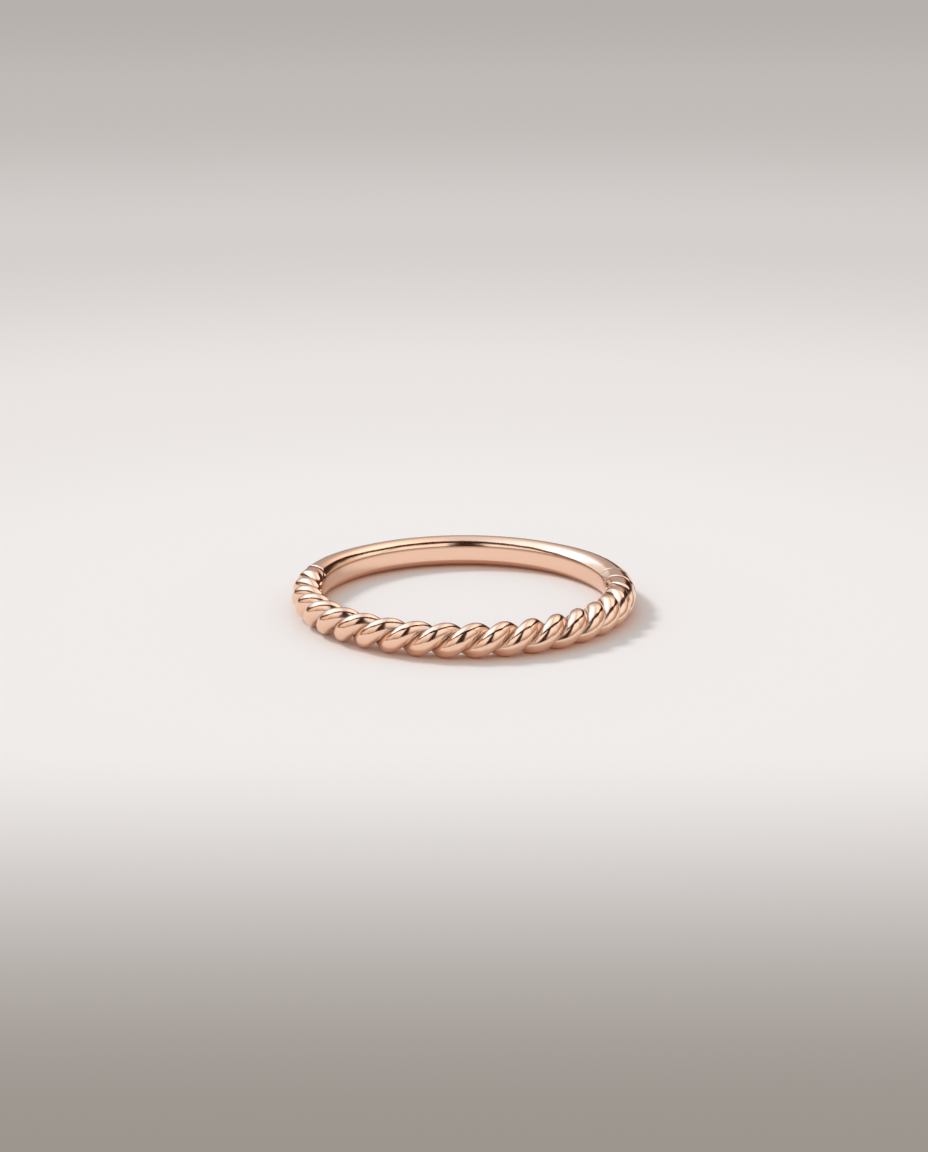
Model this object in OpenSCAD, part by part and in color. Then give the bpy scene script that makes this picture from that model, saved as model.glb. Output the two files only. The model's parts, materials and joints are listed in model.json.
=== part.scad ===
// Rope twist ring: a two-strand rope over the front of the finger and a
// plain round band behind, round one smooth finger hole. Millimetres.
// The ring lies flat: +Z is the axis of the finger hole, -Y is the middle
// of the rope, and the origin is the centre of the hole.

/* [Finger hole] */
// Diameter of the finger hole
bore_d = 17.3; // [15:0.1:21]
// Depth from the middle of the rope to the wall of the finger hole
bore_depth = 0.83; // [0.75:0.01:0.87]

/* [Rope] */
// Diameter over the twisted strands
rope_d = 2.0; // [1.9:0.05:2.1]
// Diameter of one strand
strand_d = 1.08; // [1.06:0.02:1.16]
// Length of one full turn of a strand, along the middle of the rope
rope_lead = 3.36; // [3:0.02:4]
// Turn of the strands at the middle of the rope, in degrees
twist_start = 34; // [0:1:179]
// Angle from the middle of the rope to its left end, in degrees
rope_left = 95; // [70:1:120]
// Angle from the middle of the rope to its right end, in degrees
rope_right = 58; // [50:1:110]
// Half height of the smooth inside wall where a groove runs onto it
liner_half = 0.25; // [0.2:0.01:0.4]

/* [Plain band] */
// Diameter of the plain band
band_d = 1.9; // [1.8:0.05:2.1]
// Arc over which the rope's grooves run out past its left end, in degrees
left_fade = 20; // [3:1:50]
// Arc over which the rope's grooves run out past its right end, in degrees
right_fade = 60; // [3:1:70]
// Arc over which the band then thins from the rope's thickness, in degrees
taper = 28; // [10:1:40]

/* [Hidden] */
rose_gold = [0.86, 0.62, 0.50];

rope_r = rope_d / 2;
strand_r = strand_d / 2;
helix_r = rope_r - strand_r;
ring_r = bore_d / 2 + bore_depth;
band_r = band_d / 2;

// Twist of the strands for each degree round the ring
twist_rate = 2 * PI * ring_r / rope_lead;
// Rise of a strand for each radian of its twist
rise = ring_r / twist_rate;
slope = sqrt(helix_r * helix_r + rise * rise);

// Points on each strand of a section, and degrees between sections
strand_points = 12;
rope_step = 1.25;
band_step = 4;
bore_length = 2 * rope_d;

// A point of the section through one strand, square to the rope, at the
// angle b round the strand: 180 is the outermost point, and x is outward.
// The lag is how far that point of the strand has turned back, because the
// strand crosses the section at a slant.
function strand_lag(b) = -strand_r * helix_r * sin(b) / (rise * slope) * 180 / PI;
function strand_x(b) =
    (helix_r - strand_r * cos(b)) * cos(strand_lag(b))
    + strand_r * sin(b) * rise / slope * sin(strand_lag(b));
function strand_y(b) =
    (helix_r - strand_r * cos(b)) * sin(strand_lag(b))
    - strand_r * sin(b) * rise / slope * cos(strand_lag(b));

// The angle round the strand at which the strand meets the other one, found
// by halving the span between low and high
function groove_angle(low = 40, high = 180, halvings = 20) =
    let (middle = (low + high) / 2)
    halvings == 0 ? middle
    : strand_x(middle) > 0 ? groove_angle(low, middle, halvings - 1)
    : groove_angle(middle, high, halvings - 1);

// The rope's own section as [angle, radius] pairs, both strands
groove = groove_angle();
strand_section = [
    for (i = [0 : strand_points - 1])
        let (b = 360 - groove + (2 * groove - 360) * i / strand_points)
        [atan2(strand_y(b), strand_x(b)), norm([strand_x(b), strand_y(b)])]
];
rope_section = concat(
    strand_section,
    [for (p = strand_section) [p[0] + 180, p[1]]]
);

// How deep the grooves between the strands are
groove_depth = rope_r - strand_section[0][1];

// A smooth step from 0 to 1 as s goes from 0 to 1
function ease(s) = let (c = min(max(s, 0), 1)) c * c * (3 - 2 * c);

// How far the strands may stand out towards the angle a from straight out:
// inside the ring they are worn down to the round of the plain band
function strand_limit(a) = band_r + (rope_r - band_r) * ease((cos(a) + 0.8) / 0.4);

// Radius of the smooth liner that carries the inside wall across the grooves
function liner_r(a) = cos(a) > 0 ? 0 : min(band_r, liner_half / max(abs(sin(a)), 0.01));

// Share of the grooves' depth that is open at the angle t round the ring: 1
// along the rope, easing to 0 where they have filled up
function rope_share(t) =
    1 - ease(max((t - rope_right) / right_fade, (-rope_left - t) / left_fade));

// Share of the rope's thickness that the bar keeps between its grooves at the
// angle t: 1 along the rope and its ends, then easing to 0 on the plain band
function collar_share(t) =
    1 - ease(min((t - rope_to) / taper, (rope_from + 360 - t) / taper));

// Stations round the ring, closer together along the rope and its ends
rope_from = -rope_left - left_fade;
rope_to = rope_right + right_fade;
rope_span = rope_to - rope_from;
rope_steps = ceil(rope_span / rope_step);
band_span = 360 - rope_span;
band_steps = ceil(band_span / band_step);
stations = concat(
    [for (i = [0 : rope_steps - 1]) rope_from + rope_span * i / rope_steps],
    [for (i = [0 : band_steps - 1]) rope_to + band_span * i / band_steps]
);

// Twist of the section at the angle t. The plain band takes up what the
// rope lacks of full turns, so that the skin closes on itself.
closing_twist = 360 * ceil(twist_rate * rope_span / 360) - twist_rate * rope_span;
function twist_at(t) =
    twist_start + twist_rate * min(t, rope_to)
    + closing_twist * max(t - rope_to, 0) / band_span;

// One point of the skin: section point p at the angle t round the ring
function skin_point(t, p) =
    let (
        a = p[0] + twist_at(t),
        bar = band_r + (strand_limit(a) - band_r) * collar_share(t),
        rope = p[1] + (1 - rope_share(t)) * groove_depth,
        r = max(min(rope, bar), liner_r(a)),
        out = ring_r + r * cos(a)
    )
    [out * sin(t), -out * cos(t), r * sin(a)];

// The twisted bar all the way round, before the finger hole is cut
module twisted_bar() {
    n = len(stations);
    m = len(rope_section);
    polyhedron(
        points = [for (t = stations) for (p = rope_section) skin_point(t, p)],
        faces = [
            for (i = [0 : n - 1]) for (j = [0 : m - 1])
                let (k = (i + 1) % n, l = (j + 1) % m)
                each [
                    [i * m + j, i * m + l, k * m + l],
                    [i * m + j, k * m + l, k * m + j]
                ]
        ],
        convexity = 8
    );
}

module rope_ring() {
    color(rose_gold)
        difference() {
            twisted_bar();
            cylinder(h = bore_length, d = bore_d, center = true, $fn = 96);
        }
}

rope_ring();
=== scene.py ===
"""Rope twist ring in rose gold, lying on a pale floor: a finely meshed ring and its finish.

The metal mirrors panels that the world shows to glossy rays alone, by a Light Path node.
"""

import json
import math

import bpy
import numpy as np
from mathutils import Matrix, Vector


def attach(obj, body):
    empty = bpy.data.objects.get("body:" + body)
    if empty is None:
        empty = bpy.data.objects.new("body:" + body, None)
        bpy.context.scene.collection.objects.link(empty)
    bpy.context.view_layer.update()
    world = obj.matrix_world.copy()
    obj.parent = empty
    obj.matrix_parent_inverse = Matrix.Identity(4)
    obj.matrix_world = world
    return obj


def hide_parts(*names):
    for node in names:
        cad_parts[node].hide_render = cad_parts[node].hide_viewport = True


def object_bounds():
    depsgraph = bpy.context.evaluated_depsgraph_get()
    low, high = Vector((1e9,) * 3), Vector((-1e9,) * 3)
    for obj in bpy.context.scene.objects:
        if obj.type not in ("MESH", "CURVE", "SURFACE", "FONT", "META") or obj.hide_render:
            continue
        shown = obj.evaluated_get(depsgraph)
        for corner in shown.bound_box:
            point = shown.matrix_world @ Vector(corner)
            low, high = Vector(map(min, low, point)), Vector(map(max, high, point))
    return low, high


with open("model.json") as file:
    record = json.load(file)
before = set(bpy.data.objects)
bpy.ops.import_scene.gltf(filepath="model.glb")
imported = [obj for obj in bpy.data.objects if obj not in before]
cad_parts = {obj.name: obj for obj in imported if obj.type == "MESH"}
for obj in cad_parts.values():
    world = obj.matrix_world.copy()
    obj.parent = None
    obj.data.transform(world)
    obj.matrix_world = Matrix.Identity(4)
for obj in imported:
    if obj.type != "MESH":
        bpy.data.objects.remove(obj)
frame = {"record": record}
cad_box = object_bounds()

MM = 0.001

# The ring's sizes in millimetres and degrees round the ring, the finger hole from the frame. The
# rest repeats the solid's own driving sizes, since the frame holds no names for them. Only here,
# the grooves fill up later towards the inside at the right end, by the lag.
BORE_R = frame["record"]["mounts"][0]["dims"]["r_mm"]
BORE_DEPTH = 0.83
ROPE_R = 1.0
STRAND_R = 0.54
ROPE_LEAD = 3.36
TWIST_START = 34.0
BAND_R = 0.95
ROPE_LEFT, LEFT_FADE = 95.0, 20.0
ROPE_RIGHT, RIGHT_FADE = 58.0, 60.0
RIGHT_INNER_LAG = 12.0
TAPER = 28.0
RING_R = BORE_R + BORE_DEPTH
HELIX_R = ROPE_R - STRAND_R
TWIST_RATE = 2 * math.pi * RING_R / ROPE_LEAD

# The strands are worn down to the round of the plain band inside the ring, and the inside is
# where the grooves lag: both between these cosines of the angle from straight out.
WORN = (-0.8, -0.4)
INNER_SIDE = (0.1, -0.6)

# Mesh: the number of columns round the outside of a section, of points on each rounded edge of the
# wall and on the wall between them, and degrees between stations on the plain band. On the rope a
# station is one column of twist further on, so that the grooves run along the mesh. A crease is
# rounded over its width, which grows where a groove fills up.
COLUMNS = 73
WALL_EDGE_POINTS = 5
WALL_POINTS = 5
BAND_STEP = 1.3
CREASE = 0.03
FADE_CREASE = 0.20

# Outline of a strand: degrees round it that can reach the skin, points on them, and how far past
# the middle of the rope it is kept, in millimetres.
STRAND_SPAN = (20, 340)
STRAND_POINTS = 1281
PAST_MIDDLE = 0.02

# Inside of a section: the rounding of the wall's edge, and the radius of the wall itself, which is
# very slightly domed towards the finger.
WALL_FILLET = 0.08
WALL_DOME = 20.0

# Share of the wall's height that is left where a groove runs onto it.
WALL_IN_GROOVE = 0.54

# Camera: its angle above the floor and its distance from the middle of the finger hole in
# millimetres, and where that point lies in the 928 by 1152 image. The roll is in degrees.
CAMERA_ELEVATION = 16.9
CAMERA_DISTANCE = 118.1
CAMERA_ROLL = -0.12
FOCAL_PIXELS = 1935
IMAGE_W, IMAGE_H = 928, 1152
CENTRE_PIXEL = (463.7, 591.5)

# Metal: its own colours, and a paler colour in the grooves that is a painted reflection of the
# neighbouring strands, and how deep in a groove the change comes (1 is the bottom). Then the colour
# of thin painted dark lines: a painted dark reflection along the wall's upper edge, and painted
# shade along the seams between the strands. Then the degrees from the middle of a strand where a
# seam's painted shade begins and is full, how much wider it gets where the groove has filled up,
# and how deep the groove must be for it. Then the metal's roughness, how much patches and
# hairlines add to that, and the scales and heights of its waves and hairlines in metres.
METAL_COLOURS = [(0.975, 0.655, 0.485), (0.98, 0.68, 0.51)]
PAINTED_GROOVE_SHEEN_COLOUR = (0.93, 0.73, 0.61)
GROOVE_DEPTHS = (0.4, 0.9)
PAINTED_DARK_LINE_COLOUR = (0.42, 0.23, 0.145)
SEAM_SHADE_ANGLES = (80, 89)
SEAM_SHADE_SPREAD = 24
SEAM_SHADE_DEPTH = 0.05
POLISH, GROOVE_POLISH = 0.07, 0.26
CLOUD_DULL, HAIRLINE_DULL = 0.06, 0.08
GRAIN_ROUND, GRAIN_ACROSS = 9.0, 8000.0
WAVE_SCALE, WAVE_HEIGHT = 900.0, 0.000012
CLOUD_SCALE = 500.0
HAIRLINE_HEIGHT = 0.0000035

# Floor: half its width in metres, and its colour by how near it is to the ring (1 at the ring, half
# at the fade distance, 0 far off), a painted pool of light that is brightest round the ring. A
# painted shadow lies across it in front of the ring, and begins and ends between these places along
# Y, in metres. Close to the ring, within reach on its shaded side, it takes on the contact colour:
# a painted contact shadow, warm as if lit by light bounced off the metal.
FLOOR_HALF_SIZE = 20
FADE_DISTANCE = 0.2
PAINTED_FLOOR_LIGHT = [
    (0.0, (0.487, 0.458, 0.430)),
    (0.25, (0.565, 0.530, 0.510)),
    (0.5, (0.700, 0.660, 0.640)),
    (0.75, (0.870, 0.830, 0.815)),
    (0.9, (0.920, 0.886, 0.872)),
]
SHADE_COLOUR = (0.352, 0.315, 0.285)
SHADE_BEGINS = (-0.022, -0.059)
SHADE_ENDS = (-0.11, -0.22)
CONTACT_SHADE_AND_BOUNCE_COLOUR = (0.96, 0.72, 0.59)
CONTACT_REACH = 0.0030
CONTACT_SIDE = (-0.6, 0.5)
CONTACT_RING = ((RING_R - 0.5) * MM, (RING_R + 0.5) * MM)

# Key light: where it comes from, its width in the sky in degrees, and its strength. Azimuth 0 is
# towards the camera and 90 to the right.
KEY_AZIMUTH, KEY_ELEVATION = -122, 43
KEY_SIZE = 13
KEY_STRENGTH = 1.36
FILL_COLOUR = (0.66, 0.66, 0.66)
HORIZON_COLOUR = (0.465, 0.437, 0.410)

# What the metal reflects. Behind the ring and over it hangs a round backdrop, pale at its top and
# darker lower down, with the key light in it. Its colour goes over from left to middle to right
# between these places along X of the direction, and its edge bulges at the right, up high. A dark
# gap runs round the backdrop, and past the gap stand pale panels, open towards the camera. Angles
# are in degrees.
DOME_AZIMUTH, DOME_ELEVATION = -163, 48
DOME_RADIUS = 44
SOFT_EDGE = 1.5
DOME_LOW = (0.46, 0.41, 0.385)
DOME_LEFT = (1.34, 1.45, 1.60)
DOME_MIDDLE = (0.80, 0.83, 0.88)
DOME_RIGHT = (1.85, 1.40, 1.30)
DOME_LEFT_TO_MIDDLE = (-0.35, 0.0)
DOME_MIDDLE_TO_RIGHT = (0.0, 0.35)
DOME_FADE = (15, 52)
DOME_BULGE = 5.0
BULGE_SIDE = (0.1, 0.7)
BULGE_HEIGHT = (38, 64)
GAP_NARROW, GAP_WIDE = 14, 21
GAP_WIDENS = (45, 75)
GAP_COLOUR = (0.035, 0.015, 0.009)
GAP_LEFT_COLOUR = (0.14, 0.08, 0.05)
GAP_LEFT = (-110, -50)
PANEL_FADE = 42
HORIZON_EDGE = 7
HORIZON_SHADE = (0.12, 0.08, 0.06)

# Each panel has its left and right edge in azimuth, its foot and top in elevation, half the width
# of its soft edge, and its colour at the foot and at the top. A later panel covers an earlier one.
BEHIND = {
    "glow": (-160, -80, 4, 36, 6, (0.75, 0.78, 0.80), (1.05, 1.15, 1.25)),
    "key": (-150, -80, 26, 54, 4, (1.45, 1.85, 2.3), (1.5, 1.95, 2.45)),
}
AHEAD = {
    "left": (-125, -62, -9, 99, 3, (0.77, 0.62, 0.54), (1.08, 0.96, 0.85)),
    "front_left": (-62, -21, -9, 99, 5, (0.58, 0.43, 0.35), (1.04, 1.06, 1.04)),
    "front_right": (15, 78, -9, 99, 5, (0.50, 0.345, 0.265), (1.04, 1.06, 1.04)),
    "right": (78, 150, -9, 99, 4, (0.47, 0.305, 0.225), (0.87, 0.73, 0.61)),
    "second": (84, 122, 33, 53, 5, (1.02, 1.10, 1.12), (1.05, 1.15, 1.2)),
}


def ease(s):
    """A smooth step from 0 to 1 as s goes from 0 to 1."""
    c = np.clip(s, 0, 1)
    return c * c * (3 - 2 * c)


def between(value, start, end):
    """A smooth step from 0 to 1 as the value goes from start to end."""
    return ease((value - start) / (end - start))


def soft_max(a, b, width):
    """The larger of a and b, rounded over where they are less than width apart."""
    h = np.clip(0.5 + (a - b) / (2 * width), 0, 1)
    return b + (a - b) * h + width * h * (1 - h)


def soft_min(a, b, width):
    return -soft_max(-a, -b, width)


def strand_outline():
    """The outer half of a slanted strand's section, as rising angles and their radii."""
    rise = ROPE_LEAD / (2 * math.pi)
    slope = math.hypot(HELIX_R, rise)
    b = np.radians(np.linspace(*STRAND_SPAN, STRAND_POINTS))
    lag = -STRAND_R * HELIX_R * np.sin(b) / (rise * slope)
    along = HELIX_R - STRAND_R * np.cos(b)
    across = STRAND_R * np.sin(b) * rise / slope
    x = along * np.cos(lag) + across * np.sin(lag)
    y = along * np.sin(lag) - across * np.cos(lag)
    outer = x > -PAST_MIDDLE
    angles = np.degrees(np.arctan2(y, x))[outer]
    radii = np.hypot(x, y)[outer]
    order = np.argsort(angles)
    return angles[order], radii[order]


def wall_outline():
    """The inside of a section, from the upper wall edge to the lower, as outward and upward places.

    Also the angle at which it leaves the round of the band.
    """
    dome_x = WALL_DOME - BORE_DEPTH
    from_band = BAND_R - WALL_FILLET
    from_dome = WALL_DOME - WALL_FILLET
    edge_x = (from_band**2 - from_dome**2 + dome_x**2) / (2 * dome_x)
    edge_z = math.sqrt(from_band**2 - edge_x**2)
    start = math.atan2(edge_z, edge_x)
    end = math.atan2(edge_z, edge_x - dome_x)
    upper = [
        (edge_x + WALL_FILLET * math.cos(a), edge_z + WALL_FILLET * math.sin(a))
        for a in np.linspace(start, end, WALL_EDGE_POINTS + 1)[1:]
    ]
    wall = [
        (dome_x + WALL_DOME * math.cos(a), WALL_DOME * math.sin(a))
        for a in np.linspace(end, 2 * math.pi - end, WALL_POINTS + 2)[1:-1]
    ]
    lower = [(x, -z) for x, z in reversed(upper)]
    return np.array(upper + wall + lower), math.degrees(start)


def stations(column_step):
    """Angles round the ring in degrees, from the rope's left end on."""
    start = -ROPE_LEFT - LEFT_FADE
    end = ROPE_RIGHT + RIGHT_FADE
    rope_count = math.ceil((end - start) * TWIST_RATE / column_step)
    band_count = math.ceil((360 - end + start) / BAND_STEP)
    on_rope = start + (end - start) * np.arange(rope_count) / rope_count
    on_band = end + (360 - end + start) * np.arange(band_count) / band_count
    return np.concatenate([on_rope, on_band])


def rope_share(t, a):
    """Share of the grooves' depth that is open: 1 along the rope, 0 on the plain band.

    At the right end the grooves fill up later towards the inside of the ring.
    """
    lag = RIGHT_INNER_LAG * between(np.cos(a), *INNER_SIDE)
    past_right = (t - ROPE_RIGHT - lag) / (RIGHT_FADE - lag)
    past_left = (-ROPE_LEFT - t) / LEFT_FADE
    return 1 - ease(np.maximum(past_right, past_left))


def collar_share(t):
    """Share of the rope's full thickness that the bar keeps: 1 on the rope, then easing to 0."""
    past_right = t - ROPE_RIGHT - RIGHT_FADE
    before_left = 360 - ROPE_LEFT - LEFT_FADE - t
    return 1 - ease(np.minimum(past_right, before_left) / TAPER)


def section_radii(t, columns):
    """Radius of the section at each station and column, in millimetres.

    Also how deep in a groove each of them lies, how much painted shade it takes from the seams at
    the groove's bottom, and the share of the wall's height that is left at its lower and its upper
    edge.
    Past its ends the rope's grooves fill up, so that the strands run out flush with the bar.
    """
    angles, radii = strand_outline()
    a = np.radians(columns)[None, :]
    twist = TWIST_START + TWIST_RATE * t
    from_strand = (columns[None, :] - twist[:, None] + 90) % 180 - 90
    rope = np.interp(from_strand, angles, radii)
    limit = BAND_R + (ROPE_R - BAND_R) * between(np.cos(a), *WORN)
    bar = BAND_R + (limit - BAND_R) * collar_share(t)[:, None]
    filled_up = 1 - rope_share(t[:, None], a)
    crease = CREASE + FADE_CREASE * filled_up
    r = soft_min(rope + filled_up * (ROPE_R - rope.min() + crease), bar, crease)
    wall_left = soft_max(r[:, [0, -1]] / BAND_R, WALL_IN_GROOVE, CREASE)
    at_edge = BAND_R * math.sin(a.max())
    for edge, side in ((0, columns < 0), (1, columns > 0)):
        liner = at_edge * wall_left[:, [edge]] / np.maximum(np.abs(np.sin(a)), 0.01)
        liner = np.where((np.cos(a) < 0) & side, np.minimum(liner, BAND_R), 0)
        r = soft_max(r, liner, CREASE)
    r[:, [0, -1]] = BAND_R * wall_left
    depth = np.clip((bar - r) / (ROPE_R - STRAND_R), 0, 1)
    # Painted shade in the seams between the strands, spreading wider where a groove has filled up.
    seam_shade_start = SEAM_SHADE_ANGLES[0] - SEAM_SHADE_SPREAD * filled_up
    seam_shade = between(np.abs(from_strand), seam_shade_start, SEAM_SHADE_ANGLES[1])
    seam_shade = seam_shade * np.clip(depth / SEAM_SHADE_DEPTH, 0, 1)
    return r, depth, seam_shade, wall_left


def ring_points():
    """The skin's points by station and column, in metres.

    Also how deep each of them lies in a groove, and how much it is darkened by thin painted
    strokes:
    painted shade in the seams between the strands, and a painted dark reflection along the upper
    edge of the inside wall.
    """
    wall, wall_angle = wall_outline()
    columns = np.linspace(-wall_angle, wall_angle, COLUMNS)
    t = stations(columns[1] - columns[0])
    r, depth, seam_shade, wall_left = section_radii(t, columns)
    a = np.radians(columns)[None, :]
    inside = np.ones((len(t), 1))
    out = RING_R + np.hstack([r * np.cos(a), inside * wall[:, 0]])
    wall_up = wall[:, 1] * np.where(wall[:, 1] > 0, wall_left[:, [1]], wall_left[:, [0]])
    up = np.hstack([r * np.sin(a), wall_up])
    # A painted dark reflection along the upper edge of the inside wall.
    painted_edge_reflection = ease(1 - np.abs(wall[:, 1] - wall[0, 1] + WALL_FILLET / 2) / WALL_FILLET)
    painted_dark_line = np.hstack([seam_shade, inside * painted_edge_reflection])
    depth = np.hstack([depth, np.zeros((len(t), len(wall)))])
    turn = np.radians(t)[:, None]
    points = np.stack([out * np.sin(turn), -out * np.cos(turn), up], -1) * MM
    return points, depth, painted_dark_line


def skin_faces(n, m):
    """Triangles of a skin that closes on itself both ways, over n stations of m points."""
    i, j = np.meshgrid(np.arange(n), np.arange(m), indexing="ij")
    next_i, next_j = (i + 1) % n, (j + 1) % m
    a, b = i * m + j, i * m + next_j
    c, d = next_i * m + next_j, next_i * m + j
    first = np.stack([a, b, c], -1).reshape(-1, 3)
    second = np.stack([a, c, d], -1).reshape(-1, 3)
    return np.concatenate([first, second])


def fine_ring():
    """The ring as one closed mesh, with what its metal needs to know at each point."""
    points, depth, painted_dark_line = ring_points()
    mesh = bpy.data.meshes.new("rope_ring_fine")
    mesh.from_pydata(points.reshape(-1, 3), [], skin_faces(*depth.shape))
    mesh.shade_smooth()
    for name, values in (("groove", depth), ("painted_dark_line", painted_dark_line)):
        attribute = mesh.attributes.new(name, "FLOAT", "POINT")
        attribute.data.foreach_set("value", values.ravel().astype(np.float32))
    ring = bpy.data.objects.new("rope_ring_fine", mesh)
    bpy.context.collection.objects.link(ring)
    return ring


class Nodes:
    """Short ways to add nodes to one node tree."""

    def __init__(self, owner):
        owner.use_nodes = True
        self.tree = owner.node_tree
        self.tree.nodes.clear()

    def add(self, kind, **settings):
        node = self.tree.nodes.new(kind)
        for name, value in settings.items():
            setattr(node, name, value)
        return node

    def put(self, value, socket):
        """Feeds a socket with another node's output, or sets it to a plain value."""
        if isinstance(value, bpy.types.NodeSocket):
            self.tree.links.new(value, socket)
        else:
            socket.default_value = value

    def math(self, operation, *values):
        node = self.add("ShaderNodeMath", operation=operation)
        for value, socket in zip(values, node.inputs):
            self.put(value, socket)
        return node.outputs[0]

    def dot(self, vector, direction):
        node = self.add("ShaderNodeVectorMath", operation="DOT_PRODUCT")
        self.put(vector, node.inputs[0])
        self.put(direction, node.inputs[1])
        return node.outputs["Value"]

    def ramp(self, value, low, high, start=0.0, end=1.0, kind="SMOOTHSTEP"):
        """A step from start to end as the value goes from low to high."""
        node = self.add("ShaderNodeMapRange", interpolation_type=kind)
        for place, socket in zip((value, low, high, start, end), node.inputs):
            self.put(place, socket)
        return node.outputs["Result"]

    def mix(self, share, a, b, kind="RGBA"):
        node = self.add("ShaderNodeMix", data_type=kind)
        sockets = [s for s in node.inputs if s.enabled]
        for value, socket in zip((share, a, b), sockets):
            self.put(value, socket)
        return next(s for s in node.outputs if s.enabled)

    def noise(self, vector, scale, detail=2.0, fourth=None):
        node = self.add("ShaderNodeTexNoise", noise_dimensions="3D" if fourth is None else "4D")
        self.put(vector, node.inputs["Vector"])
        self.put(scale, node.inputs["Scale"])
        self.put(detail, node.inputs["Detail"])
        if fourth is not None:
            self.put(fourth, node.inputs["W"])
        return node.outputs["Fac"]


def hairline_noise(k, place):
    """Fine lines that run round the ring: noise stretched along its circle."""
    parts = k.add("ShaderNodeSeparateXYZ")
    k.put(place, parts.inputs[0])
    flat = k.add("ShaderNodeCombineXYZ")
    k.put(parts.outputs["X"], flat.inputs["X"])
    k.put(parts.outputs["Y"], flat.inputs["Y"])
    radius = k.add("ShaderNodeVectorMath", operation="LENGTH")
    k.put(flat.outputs[0], radius.inputs[0])
    along = k.add("ShaderNodeVectorMath", operation="NORMALIZE")
    k.put(flat.outputs[0], along.inputs[0])
    turn = k.add("ShaderNodeSeparateXYZ")
    k.put(along.outputs[0], turn.inputs[0])
    grain = k.add("ShaderNodeCombineXYZ")
    k.put(k.math("MULTIPLY", turn.outputs["X"], GRAIN_ROUND), grain.inputs["X"])
    k.put(k.math("MULTIPLY", turn.outputs["Y"], GRAIN_ROUND), grain.inputs["Y"])
    k.put(k.math("MULTIPLY", parts.outputs["Z"], GRAIN_ACROSS), grain.inputs["Z"])
    outward = k.math("MULTIPLY", radius.outputs["Value"], GRAIN_ACROSS)
    return k.noise(grain.outputs[0], 1.0, 3.0, outward)


def rose_gold():
    """Polished rose gold: soft waves, hairlines round the ring, duller grooves and painted light.

    The grooves' paler colour is a painted reflection of the neighbouring strands. Thin painted dark
    strokes lie in the seams between the strands, as painted shade, and along the wall's upper edge,
    as a painted dark reflection.
    """
    material = bpy.data.materials.new("rose_gold_polished")
    k = Nodes(material)
    place = k.add("ShaderNodeTexCoord").outputs["Object"]
    groove = k.add("ShaderNodeAttribute", attribute_name="groove").outputs["Fac"]
    in_groove = k.ramp(groove, *GROOVE_DEPTHS)
    painted_dark_line = k.add("ShaderNodeAttribute", attribute_name="painted_dark_line").outputs["Fac"]
    hairlines = hairline_noise(k, place)
    waves = k.noise(place, WAVE_SCALE, 1.0)
    clouds = k.noise(place, CLOUD_SCALE, 3.0)

    wave_height = k.math("MULTIPLY", waves, WAVE_HEIGHT)
    hairline_height = k.math("MULTIPLY", hairlines, HAIRLINE_HEIGHT)
    bump = k.add("ShaderNodeBump")
    k.put(1.0, bump.inputs["Strength"])
    k.put(1.0, bump.inputs["Distance"])
    k.put(k.math("ADD", wave_height, hairline_height), bump.inputs["Height"])

    metal_tone = k.mix(clouds, (*METAL_COLOURS[0], 1), (*METAL_COLOURS[1], 1))
    cloud_dull = k.math("MULTIPLY", clouds, CLOUD_DULL)
    dull = k.math("ADD", cloud_dull, k.math("MULTIPLY", hairlines, HAIRLINE_DULL))
    roughness = k.mix(in_groove, k.math("ADD", dull, POLISH), GROOVE_POLISH, "FLOAT")
    shader = k.add("ShaderNodeBsdfPrincipled")
    # Painted reflection: the grooves are painted paler, as if lit by the neighbouring strands.
    colour = k.mix(in_groove, metal_tone, (*PAINTED_GROOVE_SHEEN_COLOUR, 1))
    # Painted dark lines: painted shade in the seams, a painted dark reflection along the wall's
    # upper edge.
    k.put(k.mix(painted_dark_line, colour, (*PAINTED_DARK_LINE_COLOUR, 1)), shader.inputs["Base Color"])
    k.put(1.0, shader.inputs["Metallic"])
    k.put(roughness, shader.inputs["Roughness"])
    k.put(bump.outputs[0], shader.inputs["Normal"])
    out = k.add("ShaderNodeOutputMaterial")
    k.put(shader.outputs[0], out.inputs["Surface"])
    return material


def pale_floor(half_size, height):
    """A wide flat square of pale floor under the ring."""
    mesh = bpy.data.meshes.new("floor")
    corners = [(-1, -1), (1, -1), (1, 1), (-1, 1)]
    points = [(x * half_size, y * half_size, height) for x, y in corners]
    mesh.from_pydata(points, [], [(0, 1, 2, 3)])
    mesh.materials.append(floor_paper())
    floor = bpy.data.objects.new("floor", mesh)
    bpy.context.collection.objects.link(floor)


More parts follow.
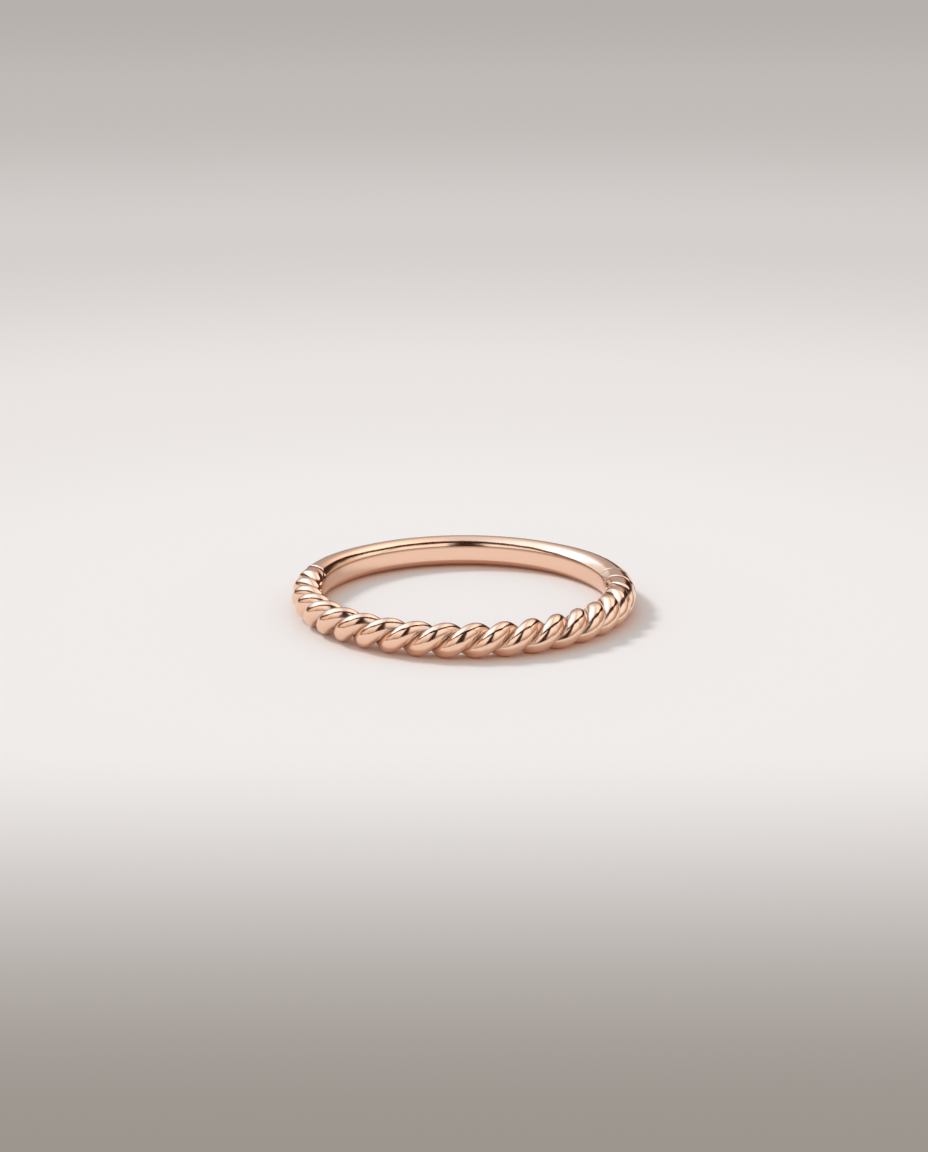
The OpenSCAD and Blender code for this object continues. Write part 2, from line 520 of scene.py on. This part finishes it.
def floor_paper():
    """Pale paper with painted light: a painted pool of light makes it brightest round the ring, and
    it is greyer far off and, under a painted shadow, close to the camera.

    Close to the ring's shaded side a painted contact shadow takes on the colour of the metal, as
    light bounced off the metal would.
    """
    material = bpy.data.materials.new("floor_paper")
    k = Nodes(material)
    place = k.add("ShaderNodeNewGeometry").outputs["Position"]
    distance = k.add("ShaderNodeVectorMath", operation="LENGTH")
    k.put(place, distance.inputs[0])
    with_fade = k.math("ADD", FADE_DISTANCE, distance.outputs["Value"])
    nearness = k.math("DIVIDE", FADE_DISTANCE, with_fade)
    # Painted light: the floor is painted brightest round the ring, a painted pool of light.
    painted_light_ramp = k.add("ShaderNodeValToRGB")
    painted_light_ramp.color_ramp.interpolation = "EASE"
    elements = painted_light_ramp.color_ramp.elements
    while len(elements) < len(PAINTED_FLOOR_LIGHT):
        elements.new(0.5)
    for element, (position, colour) in zip(elements, PAINTED_FLOOR_LIGHT):
        element.position = position
        element.color = (*colour, 1)
    k.put(nearness, painted_light_ramp.inputs["Fac"])
    parts = k.add("ShaderNodeSeparateXYZ")
    k.put(place, parts.inputs[0])
    # Painted shadow across the floor in front of the ring.
    shade = k.ramp(parts.outputs["Y"], *SHADE_BEGINS)
    past = k.ramp(parts.outputs["Y"], *SHADE_ENDS)
    share = k.math("SUBTRACT", shade, past)
    colour = k.mix(share, painted_light_ramp.outputs["Color"], (*SHADE_COLOUR, 1))
    # Painted contact shadow near the ring's shaded side, warmed as by light bounced off the metal.
    off_ring = k.math("ABSOLUTE", k.math("SUBTRACT", distance.outputs["Value"], RING_R * MM))
    touch = k.math("POWER", k.ramp(off_ring, 0.0, CONTACT_REACH, 1.0, 0.0), 2.0)
    from_middle = k.add("ShaderNodeVectorMath", operation="NORMALIZE")
    k.put(place, from_middle.inputs[0])
    from_key = k.dot(from_middle.outputs[0], -towards(KEY_AZIMUTH, 0))
    outside = k.ramp(distance.outputs["Value"], *CONTACT_RING, -1.0, 1.0)
    shaded = k.ramp(k.math("MULTIPLY", from_key, outside), *CONTACT_SIDE)
    colour = k.mix(k.math("MULTIPLY", touch, shaded), colour, (*CONTACT_SHADE_AND_BOUNCE_COLOUR, 1))
    shader = k.add("ShaderNodeBsdfDiffuse")
    k.put(colour, shader.inputs["Color"])
    out = k.add("ShaderNodeOutputMaterial")
    k.put(shader.outputs[0], out.inputs["Surface"])
    return material


def towards(azimuth, elevation):
    """Unit vector towards a place in the surroundings. Azimuth 0 is towards the camera."""
    a, e = math.radians(azimuth), math.radians(elevation)
    return Vector((math.sin(a) * math.cos(e), -math.cos(a) * math.cos(e), math.sin(e)))


def add_panels(k, panels, colour, azimuth, elevation):
    """The colour of the surroundings with soft-edged panels laid over it."""
    for left, right, foot, top, edge, low_colour, high_colour in panels.values():
        from_left = k.ramp(azimuth, left - edge, left + edge)
        from_right = k.ramp(azimuth, right - edge, right + edge, 1.0, 0.0)
        from_foot = k.ramp(elevation, foot - edge, foot + edge)
        from_top = k.ramp(elevation, top - edge, top + edge, 1.0, 0.0)
        across = k.math("MULTIPLY", from_left, from_right)
        share = k.math("MULTIPLY", across, k.math("MULTIPLY", from_foot, from_top))
        height = k.ramp(elevation, max(foot, 0), min(top, PANEL_FADE))
        shaded = k.mix(height, (*low_colour, 1), (*high_colour, 1))
        colour = k.mix(share, colour, shaded)
    return colour


def studio_panels(k):
    """The colour of the studio that the metal reflects, in every direction."""
    direction = k.add("ShaderNodeTexCoord").outputs["Generated"]
    parts = k.add("ShaderNodeSeparateXYZ")
    k.put(direction, parts.inputs[0])
    elevation = k.math("DEGREES", k.math("ARCSINE", parts.outputs["Z"]))

    ahead_of_ring = k.math("MULTIPLY", parts.outputs["Y"], -1.0)
    azimuth = k.math("DEGREES", k.math("ARCTAN2", parts.outputs["X"], ahead_of_ring))

    to_dome = k.dot(direction, towards(DOME_AZIMUTH, DOME_ELEVATION))
    off = k.math("DEGREES", k.math("ARCCOSINE", to_dome))
    bulge_side = k.ramp(parts.outputs["X"], *BULGE_SIDE)
    bulge = k.math("MULTIPLY", bulge_side, k.ramp(elevation, *BULGE_HEIGHT))
    off = k.math("SUBTRACT", off, k.math("MULTIPLY", bulge, DOME_BULGE))
    to_middle = k.ramp(parts.outputs["X"], *DOME_LEFT_TO_MIDDLE)
    to_right = k.ramp(parts.outputs["X"], *DOME_MIDDLE_TO_RIGHT)
    dome_high = k.mix(to_middle, (*DOME_LEFT, 1), (*DOME_MIDDLE, 1))
    dome_high = k.mix(to_right, dome_high, (*DOME_RIGHT, 1))
    behind = k.mix(k.ramp(elevation, *DOME_FADE), (*DOME_LOW, 1), dome_high)
    behind = add_panels(k, BEHIND, behind, azimuth, elevation)
    gap = k.mix(k.ramp(azimuth, *GAP_LEFT), (*GAP_LEFT_COLOUR, 1), (*GAP_COLOUR, 1))
    ahead = add_panels(k, AHEAD, (*GAP_COLOUR, 1), azimuth, elevation)
    outer = k.ramp(elevation, *GAP_WIDENS, DOME_RADIUS + GAP_NARROW, DOME_RADIUS + GAP_WIDE)
    past_gap = k.ramp(k.math("SUBTRACT", off, outer), -SOFT_EDGE, SOFT_EDGE)
    in_dome = k.ramp(off, DOME_RADIUS - SOFT_EDGE, DOME_RADIUS + SOFT_EDGE, 1.0, 0.0)
    colour = k.mix(in_dome, k.mix(past_gap, gap, ahead), behind)
    return k.mix(k.ramp(elevation, 0, HORIZON_EDGE), (*HORIZON_SHADE, 1), colour)


def studio():
    """The surroundings: panels that the metal alone reflects.

    What isn't metal is lit by an even fill instead, and the camera sees a plain grey past the
    floor.
    """
    world = bpy.data.worlds.new("studio")
    bpy.context.scene.world = world
    k = Nodes(world)
    path = k.add("ShaderNodeLightPath")
    colour = k.mix(path.outputs["Is Glossy Ray"], (*FILL_COLOUR, 1), studio_panels(k))
    colour = k.mix(path.outputs["Is Camera Ray"], colour, (*HORIZON_COLOUR, 1))
    light = k.add("ShaderNodeBackground")
    k.put(colour, light.inputs["Color"])
    out = k.add("ShaderNodeOutputWorld")
    k.put(light.outputs[0], out.inputs["Surface"])


def key_light():
    """A low, soft light from behind that makes the shadow and isn't mirrored."""
    data = bpy.data.lights.new("key", "SUN")
    data.energy = KEY_STRENGTH
    data.angle = math.radians(KEY_SIZE)
    key = bpy.data.objects.new("key", data)
    bpy.context.collection.objects.link(key)
    key.rotation_euler = towards(KEY_AZIMUTH, KEY_ELEVATION).to_track_quat("Z", "Y").to_euler()
    key.visible_glossy = False


def photo_camera():
    """The camera at the photograph's angle above the floor."""
    data = bpy.data.cameras.new("camera")
    camera = bpy.data.objects.new("camera", data)
    bpy.context.collection.objects.link(camera)
    rise = math.radians(CAMERA_ELEVATION)
    distance = CAMERA_DISTANCE * MM
    camera.location = (0, -distance * math.cos(rise), distance * math.sin(rise))
    tilt = Matrix.Rotation(math.pi / 2 - rise, 4, "X")
    roll = Matrix.Rotation(math.radians(CAMERA_ROLL), 4, "Z")
    camera.rotation_euler = (tilt @ roll).to_euler()
    data.sensor_width = 36
    data.lens = FOCAL_PIXELS / IMAGE_H * data.sensor_width
    data.shift_x = (IMAGE_W / 2 - CENTRE_PIXEL[0]) / IMAGE_H
    data.shift_y = (CENTRE_PIXEL[1] - IMAGE_H / 2) / IMAGE_H
    data.clip_start = 0.005
    data.clip_end = 50
    bpy.context.scene.camera = camera


bpy.context.scene.view_settings.view_transform = "Standard"
ring = fine_ring()
ring.data.materials.append(rose_gold())
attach(ring, "root")
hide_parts("rope_ring")
pale_floor(FLOOR_HALF_SIZE, cad_box[0].z)
studio()
key_light()
photo_camera()
